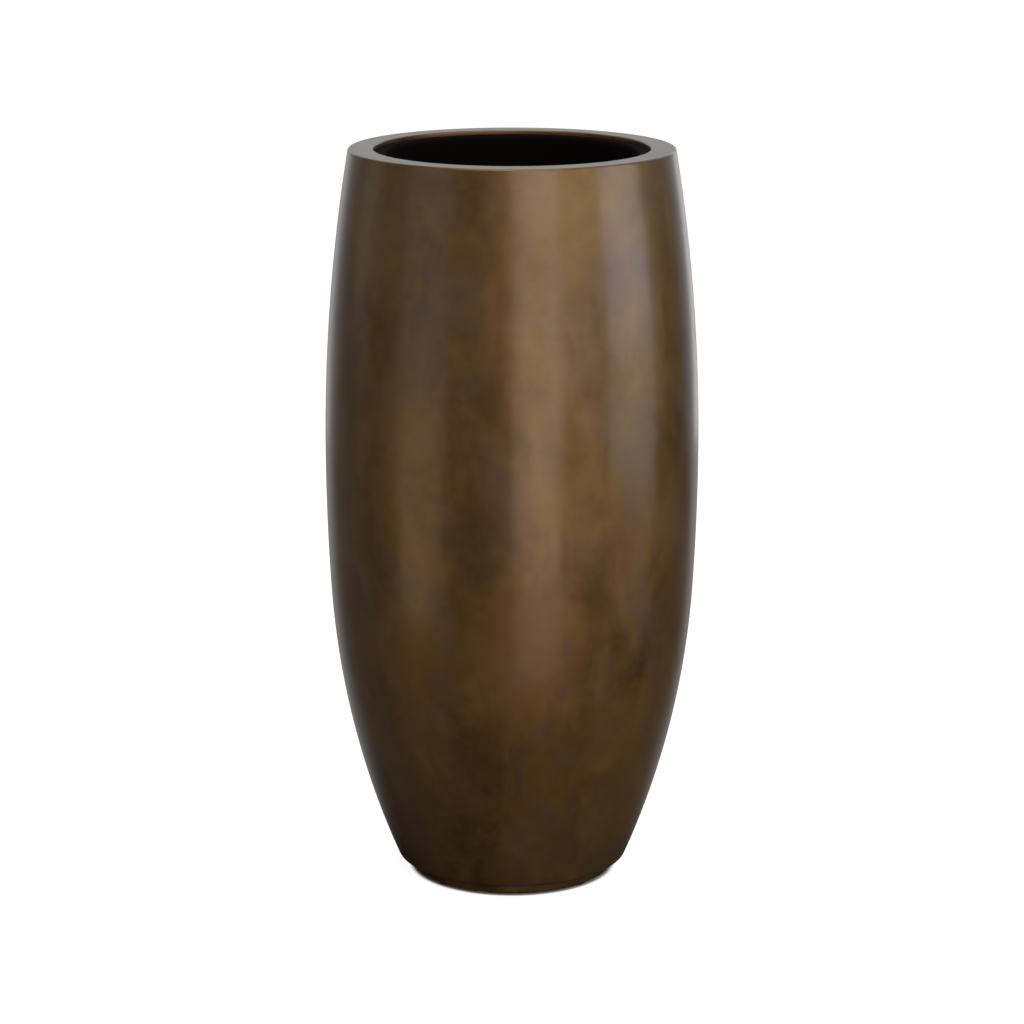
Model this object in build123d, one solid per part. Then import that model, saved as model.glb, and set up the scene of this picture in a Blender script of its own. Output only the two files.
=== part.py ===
from build123d import *
import os
from math import cos, radians, tan

# Tall round floor planter: one concrete casting, a lift-out planting insert that hangs inside its rim,
# a rubber stopper in its drain hole and four rubber pads under its foot.
# Millimetres, +Z up. The origin is on the floor, on the planter's axis.

# Outside of the casting. Its side is three tangent arcs: rim to belly, belly to knee, knee to base edge.
height = 800.0
rim_radius = 174.5
belly_radius = 202.2
belly_height = 473.0
knee_inset = 4.4
knee_drop = 150.0
base_radius = 124.8
base_round = 7.5
rim_round = 2.5

# Inside of the casting
wall = 13.0
floor_thickness = 20.0
floor_fall = 2.0
floor_round = 22.0

# Rim: a flat top, and a ledge just below it that carries the insert's flange
rim_width = 27.0
mouth_round = 1.6
ledge_depth = 7.0
ledge_width = 9.0
ledge_chamfer = 2.0
lip_thickness = 14.0
lip_slope = 45.0
lip_round = 8.0

# Foot ring, set back under the base, with a hollow underside
foot_setback = 13.9
foot_height = 12.0
foot_width = 20.0
foot_draft = 12.0
foot_chamfer = 1.2

# Drain hole on the axis, with a flat seat round it
drain_radius = 12.5
drain_chamfer = 1.5
seat_width = 9.0

# Rubber pads under the foot ring
pad_count = 4
pad_radius = 8.0
pad_thickness = 2.0
pad_chamfer = 0.6
pad_start = 45.0

# Planting insert: a moulded bucket of even thickness
insert_wall = 3.0
insert_gap = 1.2
insert_depth = 262.0
insert_draft = 3.5
insert_round = 6.0
stand_width = 24.0
stand_height = 8.0
stand_slope_width = 6.0

# Holes in the insert's floor, and the two finger slots near its top
weep_radius = 4.5
weep_count = 8
weep_circle = 62.0
slot_length = 84.0
slot_height = 22.0
slot_drop = 46.0

# Stiffening ribs on the insert's outside
rib_count = 12
rib_thickness = 3.0
rib_depth = 2.6
rib_drop = 74.0
rib_end_gap = 16.0
rib_start = 15.0

# Drain plug
plug_clearance = 0.3
plug_taper = 0.8
plug_recess = 2.0
plug_head_margin = 2.0
plug_head_thickness = 5.0
plug_head_chamfer = 1.5
plug_end_chamfer = 1.0
tab_width = 16.0
tab_height = 15.0
tab_thickness = 5.0
tab_hole_radius = 4.0
tab_sink = 1.0

# Places that follow from the sizes above
base_height = pad_thickness + foot_height
foot_radius = base_radius - foot_setback
foot_middle = foot_radius - foot_width / 2
floor_height = base_height + floor_thickness
mouth_radius = rim_radius - rim_width
ledge_radius = mouth_radius - ledge_width
ledge_height = height - ledge_depth
lip_height = ledge_height - lip_thickness
seat_radius = drain_radius + seat_width
insert_top_radius = ledge_radius - insert_gap
flange_radius = mouth_radius - insert_gap
insert_bottom = ledge_height - insert_depth
half_wall = insert_wall / 2


def side_arcs():
    """The side's three arcs, as radius and height: belly up to rim, belly down to knee, knee to base edge."""
    rim = (rim_radius, height)
    belly = (belly_radius, belly_height)
    knee = (belly_radius - knee_inset, belly_height - knee_drop)
    edge = (base_radius, base_height)
    upper = TangentArc(belly, rim, tangent=(0, 1))
    middle = TangentArc(belly, knee, tangent=(0, -1))
    lower = TangentArc(knee, edge, tangent=middle % 1)
    return [upper, middle, lower]


def inward(way):
    """The direction square to an arc's own that points towards the axis."""
    return Vector(-abs(way.Y), way.X if way.Y > 0 else -way.X)


def set_in(arc, depth):
    """The arc concentric with this one, moved inwards by depth."""
    start = arc @ 0 + inward(arc % 0) * depth
    end = arc @ 1 + inward(arc % 1) * depth
    return TangentArc(start, end, tangent=arc % 0)


def face_to_axis(arcs):
    """The region between the side's arcs and the planter's axis."""
    top = arcs[0] @ 1
    low = arcs[-1] @ 1
    closing = Polyline(low, (0, low.Y), (0, top.Y), top)
    return make_face([*arcs, closing])


def corner(section, radius, level):
    """The section's corner nearest to a point given by its radius and height."""
    return section.vertices().sort_by_distance((radius, level, 0))[0]


def rounded(section, radius, level, round_radius):
    """The section with its corner nearest to that point rounded."""
    return fillet(corner(section, radius, level), round_radius)


def eased(section, radius, level, width):
    """The section with its corner nearest to that point chamfered."""
    return chamfer(corner(section, radius, level), width)


def spun(section):
    """The solid of revolution of a section drawn with radius to the right and height up."""
    return revolve(Plane.XZ * section, axis=Axis.Z)


def casting_section():
    """Half section of the casting, without the rounded corners."""
    arcs = side_arcs()
    outside = face_to_axis(arcs)
    inside = face_to_axis([set_in(arc, wall) for arc in arcs])
    reach = belly_radius

    # Everything below the inner floor, which falls towards the drain's flat seat
    rise = (reach - seat_radius) * tan(radians(floor_fall))
    floor_top = Polyline((0, floor_height), (seat_radius, floor_height), (reach, floor_height + rise))
    floor_sides = Polyline((reach, floor_height + rise), (reach, 0), (0, 0), (0, floor_height))
    below_floor = make_face([floor_top, floor_sides])

    # Everything outside the mouth and above the lip's sloping underside
    fall = (reach - ledge_radius) * tan(radians(lip_slope))
    rim_band = make_face(
        Polyline(
            (mouth_radius, height),
            (mouth_radius, ledge_height),
            (ledge_radius, ledge_height),
            (ledge_radius, lip_height),
            (reach, lip_height - fall),
            (reach, height),
            close=True,
        )
    )

    throat = Pos(ledge_radius / 2, ledge_height - lip_thickness) * Rectangle(ledge_radius, 2 * lip_thickness)
    recess = Pos(mouth_radius / 2, height - ledge_depth / 2) * Rectangle(mouth_radius, ledge_depth)
    hollow = inside - below_floor - rim_band + throat + recess

    # Foot ring, whose inner side leans with the mould's draft
    lean = (base_height - pad_thickness) * tan(radians(foot_draft))
    foot_inner = foot_radius - foot_width
    foot = make_face(
        Polyline(
            (foot_radius, base_height),
            (foot_radius, pad_thickness),
            (foot_inner, pad_thickness),
            (foot_inner - lean, base_height),
            close=True,
        )
    )

    drain = Pos(drain_radius / 2, floor_height / 2) * Rectangle(drain_radius, floor_height)
    return outside - hollow + foot - drain


def planter_shell():
    """The concrete casting: curved wall, thick rim with its ledge, floor, drain hole and foot ring."""
    section = casting_section()
    for radius, level, round_radius in [
        (rim_radius, height, rim_round),
        (mouth_radius, height, mouth_round),
        (ledge_radius, lip_height, lip_round),
        (base_radius - wall, floor_height, floor_round),
        (base_radius, base_height, base_round),
    ]:
        section = rounded(section, radius, level, round_radius)
    for radius, level, width in [
        (ledge_radius, ledge_height, ledge_chamfer),
        (drain_radius, floor_height, drain_chamfer),
        (foot_radius - foot_width, pad_thickness, foot_chamfer),
        (foot_radius, pad_thickness, foot_chamfer),
    ]:
        section = eased(section, radius, level, width)
    return spun(section)


def insert_line():
    """Middle line of the insert's even wall, from its flange's edge down and in to the axis."""
    flange_level = ledge_height + half_wall
    floor_level = insert_bottom + half_wall
    top_radius = insert_top_radius - half_wall / cos(radians(insert_draft))
    bottom_radius = top_radius - (flange_level - floor_level) * tan(radians(insert_draft))
    stand_inner = bottom_radius - stand_width
    side = FilletPolyline(
        (flange_radius, flange_level),
        (top_radius, flange_level),
        (bottom_radius, floor_level),
        (stand_inner, floor_level),
        radius=[ledge_chamfer + half_wall, insert_round],
    )
    raised = Polyline(
        (stand_inner, floor_level),
        (stand_inner - stand_slope_width, floor_level + stand_height),
        (0, floor_level + stand_height),
    )
    return side + raised


def insert_outer_radius(level):
    """Outer radius of the insert's tapering wall at a height."""
    return insert_top_radius - (ledge_height - level) * tan(radians(insert_draft))


def insert_rib():
    """One upright rib on the insert's outside, on the +X side, with a sloping top."""
    top = ledge_height - rib_drop
    bottom = insert_bottom + rib_end_gap
    side = make_face(
        Polyline(
            (insert_outer_radius(top) - half_wall, top),
            (insert_outer_radius(top - rib_depth) + rib_depth, top - rib_depth),
            (insert_outer_radius(bottom) + rib_depth, bottom),
            (insert_outer_radius(bottom) - half_wall, bottom),
            close=True,
        )
    )
    return extrude(Plane.XZ * side, amount=rib_thickness / 2, both=True)


def planting_insert():
    """The lift-out bucket: flange, tapering ribbed wall, finger slots and a raised floor with holes."""
    bucket = spun(trace(insert_line(), line_width=insert_wall))

    for place in PolarLocations(0, rib_count, start_angle=rib_start):
        bucket += place * insert_rib()

    weep_length = 2 * (stand_height + insert_wall)
    weep = Cylinder(weep_radius, weep_length)
    weep_places = [Location((0, 0, 0)), *PolarLocations(weep_circle, weep_count)]
    bucket -= [Pos(0, 0, insert_bottom + stand_height) * place * weep for place in weep_places]

    slot = Pos(0, 0, ledge_height - slot_drop) * (Plane.YZ * SlotOverall(slot_length, slot_height))
    bucket -= extrude(slot, amount=mouth_radius, both=True)
    return bucket


def drain_plug():
    """The rubber stopper: a tapering stem, a wide head on the drain's seat and a tab to pull it by."""
    stem_radius = drain_radius - plug_clearance
    stem_end = base_height + plug_recess
    head_radius = seat_radius - plug_head_margin
    head_top = floor_height + plug_head_thickness
    section = make_face(
        Polyline(
            (0, head_top),
            (head_radius, head_top),
            (head_radius, floor_height),
            (stem_radius, floor_height),
            (stem_radius - plug_taper, stem_end),
            (0, stem_end),
            close=True,
        )
    )
    section = eased(section, head_radius, head_top, plug_head_chamfer)
    section = eased(section, stem_radius - plug_taper, stem_end, plug_end_chamfer)

    tab_centre = head_top - tab_sink + tab_height / 2
    outline = Pos(0, tab_centre) * Rectangle(tab_width, tab_height)
    outline = fillet(outline.vertices().group_by(Axis.Y)[-1], tab_width / 2 - 1)
    outline -= Pos(0, head_top + tab_height - tab_sink - tab_width / 2) * Circle(tab_hole_radius)
    tab = extrude(Plane.XZ * outline, amount=tab_thickness / 2, both=True)
    return spun(section) + tab


def foot_pad():
    """One pad, centred on the axis, with its lower edge chamfered."""
    section = Pos(pad_radius / 2, pad_thickness / 2) * Rectangle(pad_radius, pad_thickness)
    return spun(eased(section, pad_radius, 0, pad_chamfer))


nodes = {
    "planter_shell": planter_shell(),
    "planting_insert": planting_insert(),
    "drain_plug": drain_plug(),
}
for number, place in enumerate(PolarLocations(foot_middle, pad_count, start_angle=pad_start), 1):
    nodes[f"foot_pad_{number}"] = place * foot_pad()

os.makedirs("parts", exist_ok=True)
for name, solid in nodes.items():
    export_step(solid, f"parts/{name}.step")
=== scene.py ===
from math import atan2, cos, hypot, pi, radians, sin, tan

import bmesh
import bpy
from bpy.props import FloatProperty, FloatVectorProperty, IntProperty, PointerProperty
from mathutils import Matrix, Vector


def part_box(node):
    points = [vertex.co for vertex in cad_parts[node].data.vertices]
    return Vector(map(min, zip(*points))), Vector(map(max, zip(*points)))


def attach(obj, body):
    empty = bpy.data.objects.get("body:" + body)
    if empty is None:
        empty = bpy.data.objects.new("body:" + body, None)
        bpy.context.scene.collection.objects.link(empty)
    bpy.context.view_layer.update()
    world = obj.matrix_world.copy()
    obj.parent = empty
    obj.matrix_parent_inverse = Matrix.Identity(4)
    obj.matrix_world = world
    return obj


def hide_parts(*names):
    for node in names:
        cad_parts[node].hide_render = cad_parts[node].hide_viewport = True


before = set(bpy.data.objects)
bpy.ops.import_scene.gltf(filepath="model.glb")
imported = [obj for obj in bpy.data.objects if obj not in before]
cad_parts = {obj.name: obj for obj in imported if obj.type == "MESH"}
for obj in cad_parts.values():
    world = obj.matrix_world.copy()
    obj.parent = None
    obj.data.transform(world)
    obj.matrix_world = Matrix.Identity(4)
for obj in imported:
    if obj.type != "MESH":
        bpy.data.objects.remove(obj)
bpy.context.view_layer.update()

bl_info = {
    "name": "Round Planter",
    "version": (1, 0, 0),
    "blender": (4, 5, 0),
    "location": "3D View > Sidebar > Planter",
    "description": "Builds the finish of a tall round planter around its packed model",
    "category": "Add Mesh",
}

SHELL_LOW, SHELL_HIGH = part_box("planter_shell")
_, INSERT_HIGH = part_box("planting_insert")
MM = 0.001

# Hidden parts of the casting
FOOT_HEIGHT = 12 * MM
FOOT_SETBACK = 13.9 * MM
FOOT_WIDTH = 20 * MM
FOOT_LEAN = 2.6 * MM
FLOOR_THICKNESS = 20 * MM
FLOOR_RISE = 3.4 * MM
DRAIN_RADIUS = 12.5 * MM
SEAT_RADIUS = 21.5 * MM
LEDGE_DEPTH = 7 * MM
LEDGE_WIDTH = 9 * MM
LIP_THICKNESS = 14 * MM
LIP_RUN = 1 * MM
LIP_RISE = 6 * MM

# Rounding of the casting's corners
RIM_ROUND = 2.5 * MM
MOUTH_ROUND = 1.6 * MM
RECESS_ROUND = 0.8 * MM
LEDGE_ROUND = 2 * MM
LIP_ROUND = 6 * MM
FLOOR_ROUND = 14 * MM
DRAIN_ROUND = 1.5 * MM
BASE_ROUND = 7.5 * MM
FOOT_ROUND = 1.5 * MM
UNDERSIDE_ROUND = 4 * MM
INNER_CORNER_ROUND = 1 * MM

# Near the floor the inner wall's arc stops at this height above it, and runs in by this share of its fall
WALL_STOP = 12 * MM
WALL_SLOPE = 0.42

# Steps along the side's three arcs and round a corner, and the loops that hold a corner's round
OUTSIDE_STEPS = (30, 12, 22)
INSIDE_STEPS = (20, 8, 20)
ROUND_STEPS = 6
HOLD = 1.2 * MM
HOLD_SHARE = 0.3

# The insert's tapering wall: thickness, radius of its middle at the ledge, and draft
INSERT_WALL = 3 * MM
INSERT_MIDDLE = 135.8 * MM
INSERT_DRAFT = tan(radians(3.5))

# The studio floor: half its width, the radius of the dark gap under the foot, and its colours
FLOOR_REACH = 30
FOOT_GAP = 110 * MM
WHITE = (1, 1, 1, 1)
PALE = (0.95, 0.97, 1, 1)

# Its greys in real light: for the camera, in gloss, and for all other light
SEEN_GREY = 0.30
GLOSS_GREY = 0.06
LIGHT_GREY = 0.47

# Its glow: to the camera near the planter and far from it, and in gloss
GLOW_NEAR = 0.92
GLOW_FAR = 0.99
GLOW_START = 0.5
GLOW_RISE = 1.25
GLOSS_GLOW = 0.68

# Where it is pale in gloss: a wedge that opens backwards, and a little at the left
WEDGE_SLOPE = 1.35
WEDGE_START = 0.45
WEDGE_FADE = 0.5
BACK_FADE = 0.2
LEFT_START = 0.2
LEFT_FADE = 1 / 3
LEFT_SHARE = 0.17


# Properties that a user would change

def length(name, description, default):
    """A length in metres, shown in the user's units."""
    return FloatProperty(name=name, description=description, default=default, unit="LENGTH", precision=4)


def colour(name, description, default):
    """A linear colour."""
    return FloatVectorProperty(
        name=name, description=description, default=default, subtype="COLOR", size=3, min=0, max=1
    )


def share(name, description, default):
    """A number from 0 to 1."""
    return FloatProperty(
        name=name, description=description, default=default, min=0, max=1, subtype="FACTOR"
    )


class PlanterSizes(bpy.types.PropertyGroup):
    """Sizes of the casting."""

    height: length("Height", "Floor to rim", SHELL_HIGH.z)
    foot_level: length("Foot level", "Underside of the foot ring", SHELL_LOW.z)
    belly_radius: length("Belly radius", "Widest radius", min(-SHELL_LOW.x, SHELL_HIGH.x, SHELL_HIGH.y))
    belly_height: length("Belly height", "Height of the widest place", 0.473)
    rim_radius: length("Rim radius", "Outer radius of the flat rim", 0.1745)
    rim_width: length("Rim width", "Width of the flat rim", 0.027)
    knee_inset: length("Knee inset", "How far the knee lies inside the belly", 0.0044)
    knee_drop: length("Knee drop", "How far the knee lies below the belly", 0.150)
    base_radius: length("Base radius", "Radius of the base's edge", 0.1248)
    wall: length("Wall", "Thickness of the wall", 0.013)
    segments: IntProperty(name="Segments", description="Steps round the planter", default=256, min=24)


class PatinaColours(bpy.types.PropertyGroup):
    """Colours and gloss of the bronze finish."""

    umber: colour("Umber", "Dark brown of the patina", (0.068, 0.0355, 0.0132))
    bronze: colour("Bronze", "Light brown of the patina", (0.136, 0.0765, 0.0296))
    amber: colour("Amber", "Golden brown of the rubbed patches", (0.112, 0.0590, 0.0150))
    plum: colour("Plum", "Greyish red of the dull patches", (0.088, 0.0540, 0.0380))
    metal: share("Metal", "How metallic the finish is", 0.64)
    satin: share("Satin", "Roughness of the metal under the lacquer", 0.42)
    lacquer: share("Lacquer", "Strength of the clear lacquer", 0.37)
    shine: share("Shine", "Roughness of the clear lacquer", 0.2)


class StudioSettings(bpy.types.PropertyGroup):
    """Light and camera."""

    camera_distance: length("Camera distance", "From the planter's axis", 3.5274)
    camera_height: length("Camera height", "Above the floor", 1.2553)
    camera_pitch: FloatProperty(
        name="Camera pitch", description="Downward tilt", default=radians(13.607), subtype="ANGLE"
    )
    camera_lens: FloatProperty(name="Lens", description="Focal length", default=117.0, unit="CAMERA")
    sky: FloatProperty(name="Sky", description="Strength of the even light from all round", default=0.22)


# Shader maths: a wrapped socket adds the nodes for what is done to it

class Wire:
    """One output socket, with arithmetic that adds Math nodes."""

    def __init__(self, finish, socket):
        self.finish = finish
        self.socket = socket

    def maths(self, operation, *others):
        sockets = dict(enumerate((self, *others)))
        return self.finish.node("ShaderNodeMath", {"operation": operation}, sockets)

    def __add__(self, other):
        return self.maths("ADD", other)

    __radd__ = __add__

    def __mul__(self, other):
        return self.maths("MULTIPLY", other)

    __rmul__ = __mul__

    def __sub__(self, other):
        return self.maths("SUBTRACT", other)

    def __rsub__(self, other):
        return self.finish.node("ShaderNodeMath", {"operation": "SUBTRACT"}, {0: other, 1: self})

    def __abs__(self):
        return self.maths("ABSOLUTE")

    def clamped(self):
        return self.finish.node("ShaderNodeClamp", {}, {0: self})

    def over(self, width):
        """Rises from 0 to 1 while the value goes from 0 to a width."""
        return (self * (1 / width)).clamped()


class Finish:
    """The node tree of a material or of the world, built one expression at a time."""

    def __init__(self, owner, output="ShaderNodeOutputMaterial"):
        self.owner = owner
        self.owner.use_nodes = True
        self.tree = owner.node_tree
        self.tree.nodes.clear()
        self.output = self.tree.nodes.new(output)

    def node(self, kind, settings, sockets, output=0):
        """A new node: its settings first, then the values or links of its sockets."""
        made = self.tree.nodes.new(kind)
        for key, value in settings.items():
            if key == "stops":
                self.set_stops(made.color_ramp, value)
            else:
                setattr(made, key, value)
        for key, value in sockets.items():
            if isinstance(value, Wire):
                self.tree.links.new(value.socket, made.inputs[key])
            else:
                made.inputs[key].default_value = value
        return Wire(self, made.outputs[output])

    def set_stops(self, ramp, stops):
        """Fills a colour ramp from pairs of place and grey value."""
        while len(ramp.elements) < len(stops):
            ramp.elements.new(1)
        for element, (place, grey) in zip(ramp.elements, stops):
            element.position = place
            element.color = (grey, grey, grey, 1)

    def place(self, scale=(1, 1, 1)):
        """The point on the piece, in metres, stretched along each axis."""
        here = self.node("ShaderNodeTexCoord", {}, {}, "Object")
        return self.node("ShaderNodeVectorMath", {"operation": "MULTIPLY"}, {0: here, 1: scale})

    def along(self, at, axis):
        """A point's distance along X, Y or Z."""
        return self.node("ShaderNodeSeparateXYZ", {}, {0: at}, axis)

    def distance(self, at):
        """A point's distance from the origin."""
        return self.node("ShaderNodeVectorMath", {"operation": "LENGTH"}, {0: at}, "Value")

    def noise(self, at, scale, detail=2.0, rough=0.5, warp=0.0):
        """Smooth noise from 0 to 1."""
        sockets = {"Vector": at, "Scale": scale, "Detail": detail, "Roughness": rough, "Distortion": warp}
        return self.node("ShaderNodeTexNoise", {}, sockets, "Fac")

    def ramp(self, value, *stops):
        """A value passed through a ramp of greys."""
        return self.node("ShaderNodeValToRGB", {"stops": stops}, {"Fac": value}, "Color")

    def mix(self, factor, low, high):
        """A colour between two colours."""
        low = low if isinstance(low, Wire) else (*low, 1)
        high = high if isinstance(high, Wire) else (*high, 1)
        return self.node("ShaderNodeMix", {"data_type": "RGBA"}, {0: factor, 6: low, 7: high}, 2)

    def bump(self, height, strength, distance):
        """A normal tilted by a height."""
        sockets = {"Height": height, "Strength": strength, "Distance": distance}
        return self.node("ShaderNodeBump", {}, sockets, "Normal")

    def done(self, shader):
        """Joins a shader to the tree's output, and gives back the material or world."""
        self.tree.links.new(shader.socket, self.output.inputs["Surface"])
        return self.owner


def bronze_patina(colours):
    """Bronze-brown metallic patina, clouded by hand, under a clear lacquer."""
    finish = Finish(bpy.data.materials.new("bronze_patina"))
    here = finish.place()
    drawn = finish.place((1, 1, 0.6))
    clouds = finish.noise(drawn, scale=9, detail=2, rough=0.5, warp=0.3)
    patches = finish.noise(drawn, scale=22, detail=3, rough=0.55, warp=0.6)
    mottle = finish.noise(here, scale=60, detail=3, rough=0.6)
    hue = finish.noise(here, scale=13, detail=3, rough=0.6, warp=0.5)
    haze = finish.noise(drawn, scale=16, detail=3, rough=0.6, warp=0.4)

    tone = finish.ramp(clouds * 0.45 + patches * 0.4 + mottle * 0.15, (0.39, 0.0), (0.61, 1.0))
    rubbed = finish.ramp(hue, (0.42, 0.0), (0.66, 1.0))
    dull = finish.ramp(haze, (0.48, 0.0), (0.66, 1.0))
    base = finish.mix(tone, tuple(colours.umber), tuple(colours.bronze))
    base = finish.mix(rubbed * 0.6, base, tuple(colours.amber))
    base = finish.mix(dull * 0.6, base, tuple(colours.plum))

    rough = colours.satin + (patches - 0.5) * 0.12 + (mottle - 0.5) * 0.08
    relief = finish.bump(clouds, strength=0.12, distance=2 * MM)
    shader = finish.node(
        "ShaderNodeBsdfPrincipled",
        {},
        {
            "Base Color": base,
            "Metallic": colours.metal,
            "Roughness": rough,
            "Specular IOR Level": 0.0,
            "Coat Weight": colours.lacquer,
            "Coat Roughness": colours.shine,
            "Coat IOR": 1.5,
            "Normal": relief,
        },
    )
    return finish.done(shader)


def dark_matt(name, low, high, roughness, gloss, grain, depth):
    """A dark, nearly matt surface in two colours, with a grain of a given fineness and depth."""
    finish = Finish(bpy.data.materials.new(name))
    here = finish.place()
    fine = finish.noise(here, scale=grain, detail=3, rough=0.6)
    worn = finish.noise(here, scale=22, detail=3, rough=0.6, warp=0.3)
    shader = finish.node(
        "ShaderNodeBsdfPrincipled",
        {},
        {
            "Base Color": finish.mix(finish.ramp(worn, (0.35, 0.0), (0.65, 1.0)), low, high),
            "Roughness": roughness + (worn - 0.5) * 0.2,
            "Specular IOR Level": gloss,
            "Normal": finish.bump(fine, strength=0.4, distance=depth),
        },
    )
    return finish.done(shader)


def inner_seal():
    """Black sealing coat, brushed on inside the casting and on its underside."""
    return dark_matt(
        "inner_seal",
        (0.0045, 0.0036, 0.0030),
        (0.012, 0.0095, 0.0078),
        roughness=0.7,
        gloss=0.25,
        grain=260,
        depth=0.6 * MM,
    )


def black_plastic():
    """Moulded black plastic of the planting insert: matt inside and on its flange, satin outside. Inside and
    on the flange its colour is darker than outside, as painted shade of the deep hollow.
    """
    finish = Finish(bpy.data.materials.new("black_plastic"))
    here = finish.place()
    radius = finish.distance(finish.place((1, 1, 0)))
    below_flange = INSERT_HIGH.z - INSERT_WALL - finish.along(here, "Z")
    past_wall = radius - INSERT_MIDDLE + below_flange * INSERT_DRAFT
    outer = past_wall.over(0.5 * MM) * below_flange.over(0.5 * MM)
    grain = finish.noise(here, scale=1100, detail=2)
    worn = finish.noise(here, scale=22, detail=3, rough=0.6, warp=0.3)
    # Painted shade: inside and on the flange the plastic is given a darker colour than its own black outside,
    # to stand for the shade in the deep hollow.
    inside = finish.mix(worn, (0.0018, 0.0010, 0.0010), (0.0042, 0.0024, 0.0024))
    shader = finish.node(
        "ShaderNodeBsdfPrincipled",
        {},
        {
            # Where outer is 0 (inside and on the flange) the darker, painted-shade colour is used; outside
            # keeps the plastic's own black.
            "Base Color": finish.mix(outer, inside, (0.011, 0.0105, 0.0102)),
            "Roughness": 0.85 - outer * 0.3 + (worn - 0.5) * 0.1,
            "Specular IOR Level": 0.02,
            "Coat Weight": outer * 0.5,
            "Coat Roughness": 0.32,
            "Coat IOR": 1.5,
            "Normal": finish.bump(grain, strength=0.3, distance=0.1 * MM),
        },
    )
    return finish.done(shader)


def black_rubber():
    """Black rubber of the drain plug and the foot pads."""
    return dark_matt(
        "black_rubber",
        (0.0050, 0.0048, 0.0046),
        (0.011, 0.0105, 0.0100),
        roughness=0.8,
        gloss=0.3,
        grain=1500,
        depth=0.1 * MM,
    )


# Outlines, as radius and height

def arc_to(start, way, end, steps):
    """Points along the arc that leaves start in the direction way and ends at end, and its last direction."""
    chord = (end[0] - start[0], end[1] - start[1])
    size = hypot(*way)
    way = (way[0] / size, way[1] / size)
    left = (-way[1], way[0])
    offset = chord[0] * left[0] + chord[1] * left[1]
    radius = (chord[0] ** 2 + chord[1] ** 2) / (2 * offset)
    centre = (start[0] + radius * left[0], start[1] + radius * left[1])
    first = atan2(start[1] - centre[1], start[0] - centre[0])
    turn = atan2(end[1] - centre[1], end[0] - centre[0]) - first
    turn = (turn + pi) % (2 * pi) - pi
    size = abs(radius)
    angles = [first + turn * step / steps for step in range(1, steps + 1)]
    points = [(centre[0] + size * cos(a), centre[1] + size * sin(a)) for a in angles]
    last = (cos(turn) * way[0] - sin(turn) * way[1], sin(turn) * way[0] + cos(turn) * way[1])
    return points, last


def side_points(sizes, depth, steps):
    """The casting's side from the rim down to the base edge, moved inwards by depth."""
    rim = (sizes.rim_radius, sizes.height)
    belly = (sizes.belly_radius, sizes.belly_height)
    knee = (sizes.belly_radius - sizes.knee_inset, sizes.belly_height - sizes.knee_drop)
    edge = (sizes.base_radius, sizes.foot_level + FOOT_HEIGHT)
    upper, _ = arc_to(belly, (0, 1), rim, steps[0])
    middle, way = arc_to(belly, (0, -1), knee, steps[1])
    lower, _ = arc_to(knee, way, edge, steps[2])
    points = [*reversed(upper), belly, *middle, *lower]
    return [shifted(points, place, depth) for place in range(len(points))]


def shifted(points, place, depth):
    """One point of a falling line, moved square to the line, towards the axis."""
    before = points[max(place - 1, 0)]
    after = points[min(place + 1, len(points) - 1)]
    way = (after[0] - before[0], after[1] - before[1])
    size = hypot(*way)
    return (points[place][0] + depth * way[1] / size, points[place][1] - depth * way[0] / size)


def softened(corners):
    """A closed outline from corners given as radius, height and rounding, with loops that hold each round."""
    outline = []
    count = len(corners)
    for place, (radius, level, size) in enumerate(corners):
        if size == 0:
            outline.append((radius, level))
            continue
        here = Vector((radius, level))
        before = Vector(corners[place - 1][:2]) - here
        after = Vector(corners[(place + 1) % count][:2]) - here
        reach = size / tan(before.angle(after) / 2)
        start = here + before.normalized() * reach
        end = here + after.normalized() * reach
        points, _ = arc_to(tuple(start), tuple(here - start), tuple(end), ROUND_STEPS)
        hold_before = min(HOLD, HOLD_SHARE * (before.length - reach))
        hold_after = min(HOLD, HOLD_SHARE * (after.length - reach))
        outline.append(tuple(start + before.normalized() * hold_before))
        outline.append(tuple(start))
        outline.extend(points)
        outline.append(tuple(end + after.normalized() * hold_after))
    return outline


def casting_outline(sizes):
    """The closed half section of the casting."""
    mouth = sizes.rim_radius - sizes.rim_width
    ledge = mouth - LEDGE_WIDTH
    ledge_level = sizes.height - LEDGE_DEPTH
    lip_level = ledge_level - LIP_THICKNESS
    base = sizes.foot_level + FOOT_HEIGHT
    foot = sizes.base_radius - FOOT_SETBACK
    foot_inner = foot - FOOT_WIDTH
    floor = base + FLOOR_THICKNESS
    outside = side_points(sizes, 0, OUTSIDE_STEPS)
    inside = side_points(sizes, sizes.wall, INSIDE_STEPS)

    def under_lip(point):
        return point[1] < lip_level - (point[0] - ledge)

    hollow = [p for p in reversed(inside) if p[1] > floor + WALL_STOP and under_lip(p)]
    side = [(radius, level, 0) for radius, level in outside[1:-1]]
    wall = [(radius, level, 0) for radius, level in hollow]
    low_radius, low_level = hollow[0]
    high_radius, high_level = hollow[-1]
    floor_edge = low_radius - (low_level - floor - FLOOR_RISE) * WALL_SLOPE
    return softened(
        [
            (mouth, sizes.height, MOUTH_ROUND),
            (sizes.rim_radius, sizes.height, RIM_ROUND),
            *side,
            (sizes.base_radius, base, BASE_ROUND),
            (foot, base, INNER_CORNER_ROUND),
            (foot, sizes.foot_level, FOOT_ROUND),
            (foot_inner, sizes.foot_level, FOOT_ROUND),
            (foot_inner - FOOT_LEAN, base, UNDERSIDE_ROUND),
            (DRAIN_RADIUS, base, INNER_CORNER_ROUND),
            (DRAIN_RADIUS, floor, DRAIN_ROUND),
            (SEAT_RADIUS, floor, 0),
            (floor_edge, floor + FLOOR_RISE, FLOOR_ROUND),
            *wall,
            (high_radius - LIP_RUN, high_level + LIP_RISE, 0),
            (ledge, lip_level, LIP_ROUND),
            (ledge, ledge_level, LEDGE_ROUND),
            (mouth, ledge_level, RECESS_ROUND),
        ]
    )


# Meshes

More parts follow.
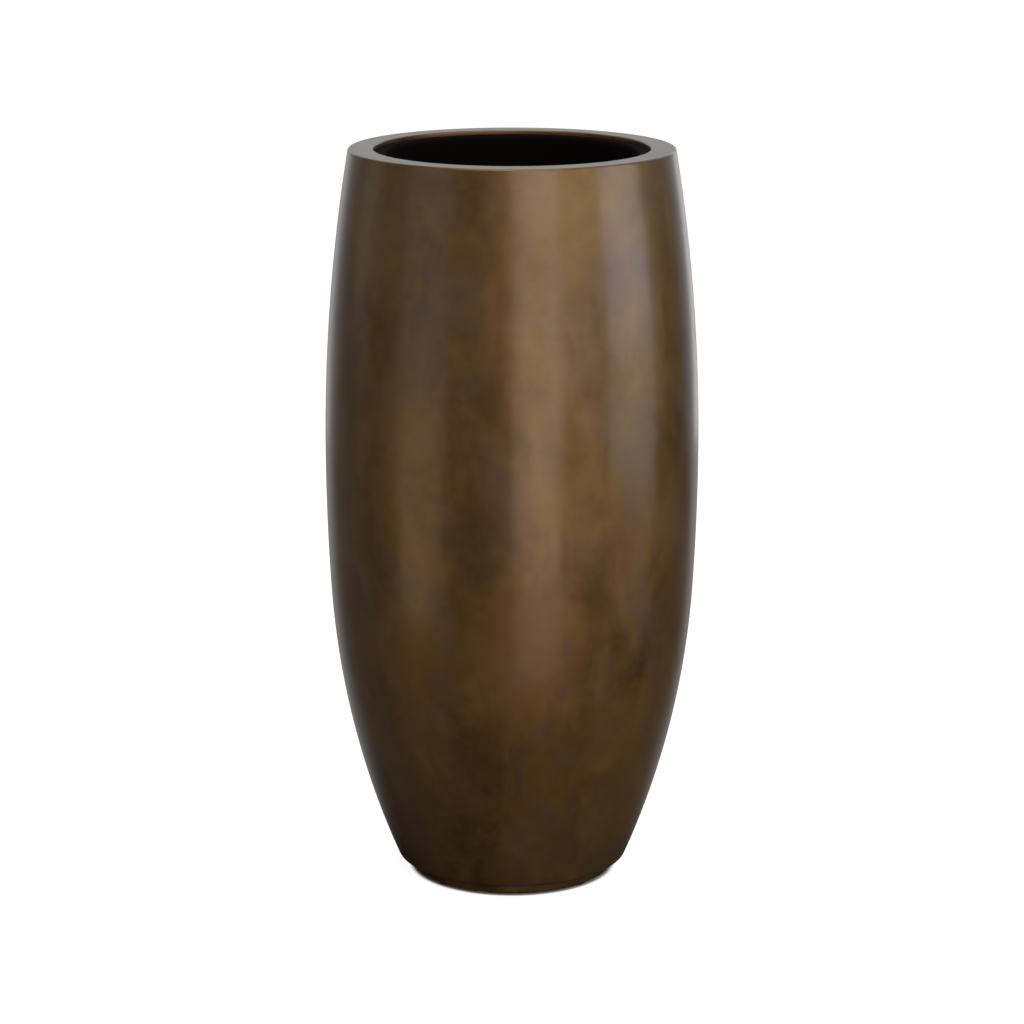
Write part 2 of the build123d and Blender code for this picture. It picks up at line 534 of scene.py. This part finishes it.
def mesh_object(name, fill, *materials):
    """A linked object with these materials, whose mesh a function fills."""
    mesh = bpy.data.meshes.new(name)
    for material in materials:
        mesh.materials.append(material)
    bm = bmesh.new()
    fill(bm)
    bm.to_mesh(mesh)
    bm.free()
    made = bpy.data.objects.new(name, mesh)
    bpy.context.scene.collection.objects.link(made)
    return made


def spin(bm, outline, segments):
    """Turns a closed outline about the vertical axis into faces that point outwards."""
    rings = []
    for step in range(segments):
        angle = 2 * pi * step / segments
        rings.append([bm.verts.new((r * cos(angle), r * sin(angle), z)) for r, z in outline])
    count = len(outline)
    for step in range(segments):
        here = rings[step]
        there = rings[(step + 1) % segments]
        for place in range(count):
            after = (place + 1) % count
            bm.faces.new((here[place], there[place], there[after], here[after]))
    bmesh.ops.recalc_face_normals(bm, faces=bm.faces)


def casting_mesh(bm, sizes):
    """The casting, shaded smooth, whose hollow and underside take the second material."""
    spin(bm, casting_outline(sizes), sizes.segments)
    recess_level = sizes.height - LEDGE_DEPTH - 1 * MM
    floor_top = sizes.foot_level + FOOT_HEIGHT + FLOOR_THICKNESS + 20 * MM
    under_foot = sizes.base_radius - FOOT_SETBACK - FOOT_WIDTH + 2 * MM
    for face in bm.faces:
        face.smooth = True
        middle = face.calc_center_median()
        radius = hypot(middle.x, middle.y)
        inwards = -(face.normal.x * middle.x + face.normal.y * middle.y) / radius
        in_hollow = inwards > 0.1 and middle.z < recess_level
        in_floor = middle.z < floor_top and radius < under_foot
        face.material_index = int(in_hollow or in_floor)


def floor_mesh(bm):
    """A square floor."""
    bmesh.ops.create_grid(bm, x_segments=4, y_segments=4, size=FLOOR_REACH)


def finish_node(name, material):
    """Gives a CAD node that stays its own finish."""
    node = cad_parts[name]
    node.data.materials.clear()
    node.data.materials.append(material)


class PLANTER_OT_casting(bpy.types.Operator):
    """Build the concrete casting with its patina"""

    bl_idname = "planter.casting"
    bl_label = "Casting"

    def execute(self, context):
        sizes = context.scene.planter_sizes
        patina = bronze_patina(context.scene.planter_patina)
        piece = mesh_object("casting", lambda bm: casting_mesh(bm, sizes), patina, inner_seal())
        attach(piece, "planter")
        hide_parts("planter_shell")
        return {"FINISHED"}


class PLANTER_OT_insert(bpy.types.Operator):
    """Finish the black planting insert"""

    bl_idname = "planter.insert"
    bl_label = "Planting insert"

    def execute(self, context):
        finish_node("planting_insert", black_plastic())
        return {"FINISHED"}


class PLANTER_OT_rubber(bpy.types.Operator):
    """Finish the rubber drain plug and foot pads"""

    bl_idname = "planter.rubber"
    bl_label = "Plug and pads"

    def execute(self, context):
        rubber = black_rubber()
        for name in ["drain_plug", *[f"foot_pad_{number}" for number in range(1, 5)]]:
            finish_node(name, rubber)
        return {"FINISHED"}


# Upright softboxes that face the planter. Each has its angle in degrees from the camera towards the right,
# the height of its lower and upper edge, its width, its distance from the axis, and its red, green and
# blue light.
SOFTBOXES = {
    "key_wide": (14.6, 0.03, 1.6, 0.60, 1.2, (1.95, 1.85, 1.70)),
    "key_near": (13.4, 0.35, 1.1, 0.27, 0.6, (1.05, 1.15, 1.15)),
    "key_low": (13.4, 0.02, 0.35, 0.27, 0.6, (1.10, 0.85, 0.65)),
    "amber_side": (42.6, 0.03, 1.6, 0.44, 1.2, (1.10, 1.00, 0.75)),
    "right_high": (71.7, 0.55, 1.6, 0.53, 0.9, (2.65, 3.20, 4.30)),
    "right_middle": (71.7, 0.3, 0.55, 0.53, 0.9, (1.80, 2.05, 2.15)),
    "right_low": (71.7, 0.03, 0.3, 0.53, 0.9, (0.80, 0.65, 0.50)),
    "right_fill": (35, 0.3, 2.3, 1.2, 2.5, (0.75, 0.77, 0.75)),
    "left_high": (-51.9, 0.45, 1.6, 0.45, 0.9, (0.65, 0.73, 0.88)),
    "left_low": (-51.9, 0.04, 0.45, 0.45, 0.9, (1.10, 0.95, 0.80)),
    "left_fill": (-105, 0.3, 2.3, 0.8, 2.5, (0.35, 0.38, 0.45)),
    "edge_left": (-153, 0.03, 2.0, 0.55, 2.2, (0.55, 0.56, 0.60)),
    "edge_left_dim": (-135, 0.03, 2.0, 0.5, 2.2, (0.15, 0.20, 0.25)),
    "edge_right": (153, 0.03, 2.0, 0.55, 2.2, (1.30, 1.35, 1.37)),
    "edge_right_dim": (135, 0.03, 2.0, 0.5, 2.2, (0.20, 0.35, 0.45)),
    "back_card": (180, 0.9, 3.3, 3.2, 3.0, (0.60, 0.70, 0.75)),
}

# The lamp overhead: its width and depth, its light and its place
OVERHEAD = ((1.5, 1.5), (5.35, 5.05, 4.20), (0, -0.4, 2.8))


def lamp(name, size, light, location, rotation):
    """A rectangular lamp of a given width and height. Its light is its red, green and blue brightness."""
    strength = max(light)
    data = bpy.data.lights.new(name, "AREA")
    data.shape = "RECTANGLE"
    data.size, data.size_y = size
    data.energy = strength * size[0] * size[1] * pi
    data.color = [part / strength for part in light]
    made = bpy.data.objects.new(name, data)
    made.location = location
    made.rotation_euler = rotation
    made.visible_camera = False
    bpy.context.scene.collection.objects.link(made)


def softbox(name, angle, low, high, width, distance, light):
    """An upright lamp that faces the planter's axis."""
    turn = radians(angle)
    location = (distance * sin(turn), -distance * cos(turn), (low + high) / 2)
    lamp(name, (width, high - low), light, location, (pi / 2, 0, turn))


def studio_floor():
    """A floor that is white to the camera, with the planter's shadow, and shows pale in gloss behind it."""
    finish = Finish(bpy.data.materials.new("studio_floor"))
    camera, glossy, through = [
        finish.node("ShaderNodeLightPath", {}, {}, name)
        for name in ("Is Camera Ray", "Is Glossy Ray", "Is Transmission Ray")
    ]
    here = finish.place()
    radius = finish.distance(here)
    across = finish.along(here, "X")
    back = finish.along(here, "Y")

    def matt(grey):
        return finish.node("ShaderNodeBsdfDiffuse", {}, {"Color": (grey, grey, grey, 1)})

    def glow(colour, strength):
        return finish.node("ShaderNodeEmission", {}, {"Color": colour, "Strength": strength})

    def blend(factor, first, second):
        return finish.node("ShaderNodeMixShader", {}, {0: factor, 1: first, 2: second})

    # To the camera: a glow that rises away from the planter, over a little real light that shows the shadow
    far = (radius - GLOW_START).over(GLOW_RISE)
    glowing = blend(far, glow(WHITE, GLOW_NEAR), glow(WHITE, GLOW_FAR))
    white = finish.node("ShaderNodeAddShader", {}, {0: glowing, 1: matt(SEEN_GREY)})

    # In gloss: pale in a wedge that opens backwards and a little at the left, and dim elsewhere
    wedge = (back - abs(across) * WEDGE_SLOPE + WEDGE_START).over(WEDGE_FADE) * back.over(BACK_FADE)
    left = (-LEFT_START - across).over(LEFT_FADE) * LEFT_SHARE
    in_gloss = blend((wedge + left).clamped(), matt(GLOSS_GREY), glow(PALE, GLOSS_GLOW))

    # The camera sees the plain floor, in shadow, in the gap under the foot
    open_floor = (radius - FOOT_GAP).over(5 * MM)
    seen = (camera + through).clamped() * open_floor
    return finish.done(blend(seen, blend(glossy, matt(LIGHT_GREY), in_gloss), white))


def studio_sky(strength):
    """Even light from all round, and white behind the planter where the camera looks past the floor."""
    finish = Finish(bpy.data.worlds.new("studio_sky"), "ShaderNodeOutputWorld")
    camera = finish.node("ShaderNodeLightPath", {}, {}, "Is Camera Ray")
    even = finish.node("ShaderNodeBackground", {}, {"Color": WHITE, "Strength": strength})
    white = finish.node("ShaderNodeBackground", {}, {"Color": WHITE, "Strength": 1.0})
    return finish.done(finish.node("ShaderNodeMixShader", {}, {0: camera, 1: even, 2: white}))


class PLANTER_OT_stage(bpy.types.Operator):
    """Build the floor, the lamps and the camera"""

    bl_idname = "planter.stage"
    bl_label = "Studio"

    def execute(self, context):
        scene = context.scene
        studio = scene.planter_studio
        floor = mesh_object("floor", floor_mesh, studio_floor())

        for name, values in SOFTBOXES.items():
            softbox(name, *values)
        lamp("overhead", *OVERHEAD, (0, 0, 0))
        scene.world = studio_sky(studio.sky)

        lens = bpy.data.cameras.new("camera")
        lens.lens = studio.camera_lens
        lens.sensor_width = 36
        lens.clip_end = 100
        camera = bpy.data.objects.new("camera", lens)
        camera.location = (0, -studio.camera_distance, studio.camera_height)
        camera.rotation_euler = (pi / 2 - studio.camera_pitch, 0, 0)
        scene.collection.objects.link(camera)
        scene.camera = camera
        scene.view_settings.view_transform = "Standard"
        return {"FINISHED"}


OPERATORS = (PLANTER_OT_stage, PLANTER_OT_casting, PLANTER_OT_insert, PLANTER_OT_rubber)


class PLANTER_PT_panel(bpy.types.Panel):
    """Lists the planter's settings and pieces"""

    bl_label = "Round Planter"
    bl_idname = "PLANTER_PT_panel"
    bl_space_type = "VIEW_3D"
    bl_region_type = "UI"
    bl_category = "Planter"

    def draw(self, context):
        scene = context.scene
        for group in (scene.planter_sizes, scene.planter_patina, scene.planter_studio):
            box = self.layout.box()
            for name in group.__annotations__:
                box.prop(group, name)
        for operator in OPERATORS:
            self.layout.operator(operator.bl_idname)


GROUPS = {
    "planter_sizes": PlanterSizes,
    "planter_patina": PatinaColours,
    "planter_studio": StudioSettings,
}
CLASSES = (*GROUPS.values(), *OPERATORS, PLANTER_PT_panel)


def register():
    for each in CLASSES:
        bpy.utils.register_class(each)
    for name, group in GROUPS.items():
        setattr(bpy.types.Scene, name, PointerProperty(type=group))


def unregister():
    for name in GROUPS:
        delattr(bpy.types.Scene, name)
    for each in reversed(CLASSES):
        bpy.utils.unregister_class(each)


def main():
    """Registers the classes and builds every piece."""
    register()
    bpy.ops.planter.stage()
    bpy.ops.planter.casting()
    bpy.ops.planter.insert()
    bpy.ops.planter.rubber()


if __name__ == "__main__":
    main()
